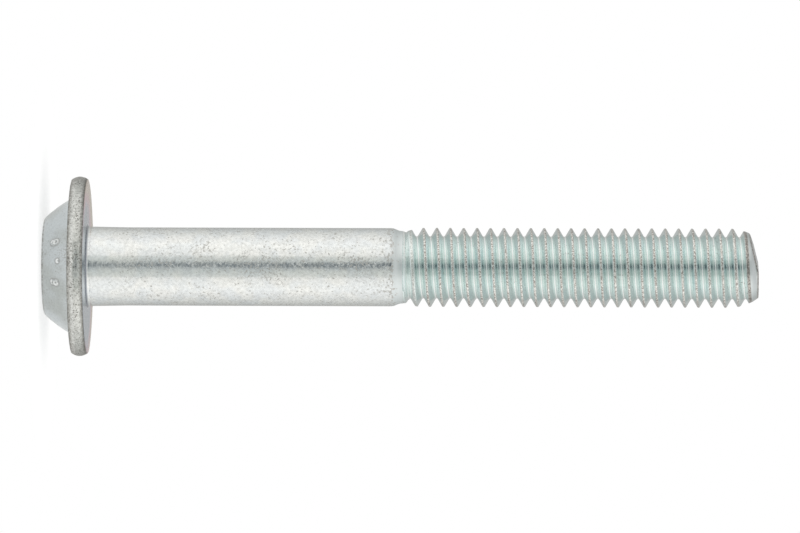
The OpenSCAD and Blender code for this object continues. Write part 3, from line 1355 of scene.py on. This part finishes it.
@dataclass
class Screw:
    """The whole screw as one closed skin."""

    head: Head = field(default_factory=Head)
    shank: Shank = field(default_factory=Shank)
    thread: Thread = field(default_factory=Thread)
    columns: int = 108

    def build(self) -> bpy.types.Object:
        """Builds and dresses the skin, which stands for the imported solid.

        The head's finer rings end on the bearing face, a third of the way from the fillet to the rim.

        Returns:
            The new piece.
        """
        skin = Skin()
        angle = np.linspace(0.0, 2.0 * math.pi, self.columns, endpoint=False)
        wide = self.head.build(skin, (self.shank.join_r() * 2.0 + self.head.flange_d / 2.0) / 3.0)
        first, neck = self.shank.build(skin, angle, self.thread.start())
        skin.gather(wide, first, Zone.BEARING)
        self.thread.build(skin, angle, neck)
        piece = skin.build("screw_skin", [FINISHES[zone].material() for zone in Zone])
        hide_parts("screw")
        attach(piece, "root")
        return piece


@dataclass(frozen=True)
class LightTent:
    """World of soft light round the screw: two bright sides, and a dim gap round the camera.

    The camera sees plain white, and so do glossy and transmission rays that leave close to its view.
    """

    stops: tuple[tuple[float, Colour], ...] = (
        (0.0, (0.52, 0.55, 0.55)), (16.0, (0.62, 0.65, 0.63)), (29.0, (0.70, 0.72, 0.70)),
        (34.0, (0.92, 0.92, 0.90)), (68.0, (1.06, 1.06, 1.04)), (92.0, (0.92, 0.92, 0.91)),
        (107.0, (0.82, 0.83, 0.82)), (125.0, (0.70, 0.71, 0.70)), (142.0, (0.59, 0.60, 0.59)),
        (158.0, (0.53, 0.53, 0.52)))
    gap_colour: Colour = (0.11, 0.135, 0.155)
    gap_aim: tuple[float, float, float] = (-0.095, -1.0, 0.14)
    gap_range: Range = (16.0, 6.0)
    sheet_range: Range = (4.5, 3.5)
    end_colour: Colour = (0.75, 0.75, 0.75)
    end_range: Range = (0.6, 0.9)
    lean: float = 0.3

    def build(self) -> None:
        """Makes the world from the tent, the gap and the white that the camera sees."""
        world = bpy.data.worlds.new("light_tent")
        world.use_nodes = True
        tree = Nodes(world.node_tree)
        place = tree.node("ShaderNodeTexCoord").outputs["Generated"]
        split = tree.node("ShaderNodeSeparateXYZ")
        tree.feed(split.inputs[0], place)
        toward = tree.node("ShaderNodeVectorMath", operation="DOT_PRODUCT")
        tree.feed(toward.inputs[0], place)
        tree.feed(toward.inputs[1], tuple(Vector(self.gap_aim).normalized()))
        gap = self.spot(tree, toward.outputs["Value"], self.gap_range)
        light = tree.blend(gap, self.tent(tree, *split.outputs), self.gap_colour)
        rays = tree.node("ShaderNodeLightPath").outputs
        mirrored = tree.math("MAXIMUM", rays["Is Glossy Ray"], rays["Is Transmission Ray"])
        sheet = self.spot(tree, split.outputs["Y"], self.sheet_range)
        white = tree.math("MAXIMUM", rays["Is Camera Ray"], tree.math("MULTIPLY", mirrored, sheet))
        backdrop = tree.node("ShaderNodeBackground")
        tree.feed(backdrop.inputs["Color"], tree.blend(white, light, WHITE))
        tree.feed(tree.node("ShaderNodeOutputWorld").inputs["Surface"], backdrop.outputs[0])
        bpy.context.scene.world = world

    @staticmethod
    def spot(tree: Nodes, cosine: Wire, angles: Range) -> Wire:
        """Share of a round spot, from the cosine of the angle off its middle: 0 and 1 at two angles."""
        return tree.rise(cosine, *(math.cos(math.radians(angle)) for angle in angles))

    def tent(self, tree: Nodes, across: Wire, depth: Wire, along: Wire) -> Wire:
        """Light by the angle round the axis from the camera's side, even at both ends.

        It is scaled by 1 plus the lean times across times along, so two opposite corners are brighter.

        Args:
            tree: nodes of the world.
            across: X of the direction.
            depth: Y of the direction.
            along: Z of the direction.

        Returns:
            The colour of the light.
        """
        turn = tree.math("ARCTAN2", tree.math("ABSOLUTE", across), tree.math("MULTIPLY", depth, -1.0))
        ramp = tree.node("ShaderNodeValToRGB")
        tree.feed(ramp.inputs[0], tree.math("DIVIDE", turn, math.pi))
        elements = ramp.color_ramp.elements
        for number, (angle, level) in enumerate(self.stops):
            place = angle / HALF_TURN
            stop = elements[number] if number < len(elements) else elements.new(place)
            stop.position = place
            stop.color = (*level, 1.0)
        ends = tree.rise(tree.math("ABSOLUTE", along), *self.end_range)
        even = tree.blend(ends, ramp.outputs["Color"], self.end_colour)
        corner = tree.math("MULTIPLY", tree.math("MULTIPLY", across, along), self.lean)
        leant = tree.node("ShaderNodeVectorMath", operation="SCALE")
        tree.feed(leant.inputs[0], even)
        tree.feed(leant.inputs["Scale"], tree.math("ADD", corner, 1.0))
        return leant.outputs[0]


@dataclass(frozen=True)
class Floor:
    """Plain pale round of paper under the head, with the screw's shadow.

    It is white to the camera and in reflections, and clear from below.
    """

    height: float = -3.26
    radius: float = 14.0
    sides: int = 96
    colour: Colour = (0.55, 0.55, 0.55)
    roughness: float = 0.9
    lift: float = 0.64

    def build(self) -> bpy.types.Object:
        """Makes the floor as one flat round face.

        Returns:
            The new object.
        """
        turn = np.linspace(0.0, 2.0 * math.pi, self.sides, endpoint=False)
        level = np.full_like(turn, self.height)
        rim = np.stack([self.radius * np.cos(turn), self.radius * np.sin(turn), level], axis=1)
        mesh = bpy.data.meshes.new("floor")
        mesh.from_pydata((rim * MM).tolist(), [], [list(range(self.sides))])
        mesh.materials.append(self.material())
        floor = bpy.data.objects.new("floor", mesh)
        bpy.context.scene.collection.objects.link(floor)
        return floor

    def material(self) -> bpy.types.Material:
        """Makes pale paper that glows a little for camera, glossy and transmission rays.

        Returns:
            The finished material.
        """
        shader = Shader("pale_floor")
        rays = shader.node("ShaderNodeLightPath").outputs
        seen = shader.math("MAXIMUM", rays["Is Camera Ray"], rays["Is Glossy Ray"])
        seen = shader.math("MAXIMUM", seen, rays["Is Transmission Ray"])
        glow = shader.math("MULTIPLY", seen, self.lift)
        paper = shader.node("ShaderNodeBsdfPrincipled")
        shader.feed_all(paper, {"Base Color": self.colour, "Roughness": self.roughness,
                                "Specular IOR Level": 0.0, "Emission Color": WHITE,
                                "Emission Strength": glow})
        below = shader.node("ShaderNodeNewGeometry").outputs["Backfacing"]
        clear = shader.node("ShaderNodeBsdfTransparent").outputs["BSDF"]
        sided = shader.node("ShaderNodeMixShader")
        for socket, value in zip(sided.inputs, (below, paper.outputs["BSDF"], clear)):
            shader.feed(socket, value)
        return shader.end(sided.outputs["Shader"])


@dataclass(frozen=True)
class PhotoCamera:
    """Camera of the photograph, far away with a long lens, turned so that the screw lies across the view."""

    distance: float = 640.0
    square_height: float = 42.05
    aim: tuple[float, float, float] = (-0.055, 0.0, 23.306)
    picture_up: tuple[float, float, float] = (-1.0, 0.0, 0.0)
    sensor: float = 36.0
    lens: float = 386.6
    roll: float = 0.174
    clip: Range = (0.05, 5.0)

    def build(self) -> bpy.types.Object:
        """Makes the camera: right is +Z and up is -X, squared to the line from the camera to its aim.

        Returns:
            The camera, set as the scene's.
        """
        data = bpy.data.cameras.new("photo_camera")
        data.sensor_width = self.sensor
        data.lens = self.lens
        data.clip_start, data.clip_end = self.clip
        place = Vector((self.aim[0], -self.distance, self.square_height)) * MM
        back = (place - Vector(self.aim) * MM).normalized()
        up = Vector(self.picture_up)
        up = (up - back * up.dot(back)).normalized()
        right = up.cross(back)
        turn = Matrix((right, up, back)).transposed() @ Matrix.Rotation(math.radians(self.roll), 3, "Z")
        camera = bpy.data.objects.new("photo_camera", data)
        camera.matrix_world = Matrix.Translation(place) @ turn.to_4x4()
        bpy.context.scene.collection.objects.link(camera)
        bpy.context.scene.camera = camera
        return camera


def main() -> None:
    """Builds the camera, the light, the floor and the screw."""
    logging.basicConfig(level=logging.INFO, format="%(message)s")
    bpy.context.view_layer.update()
    bpy.context.scene.view_settings.view_transform = "Standard"
    PhotoCamera().build()
    LightTent().build()
    Floor().build()
    piece = Screw().build()
    log.info("%s stands for the packed screw", piece.name)


if __name__ == "__main__":
    main()
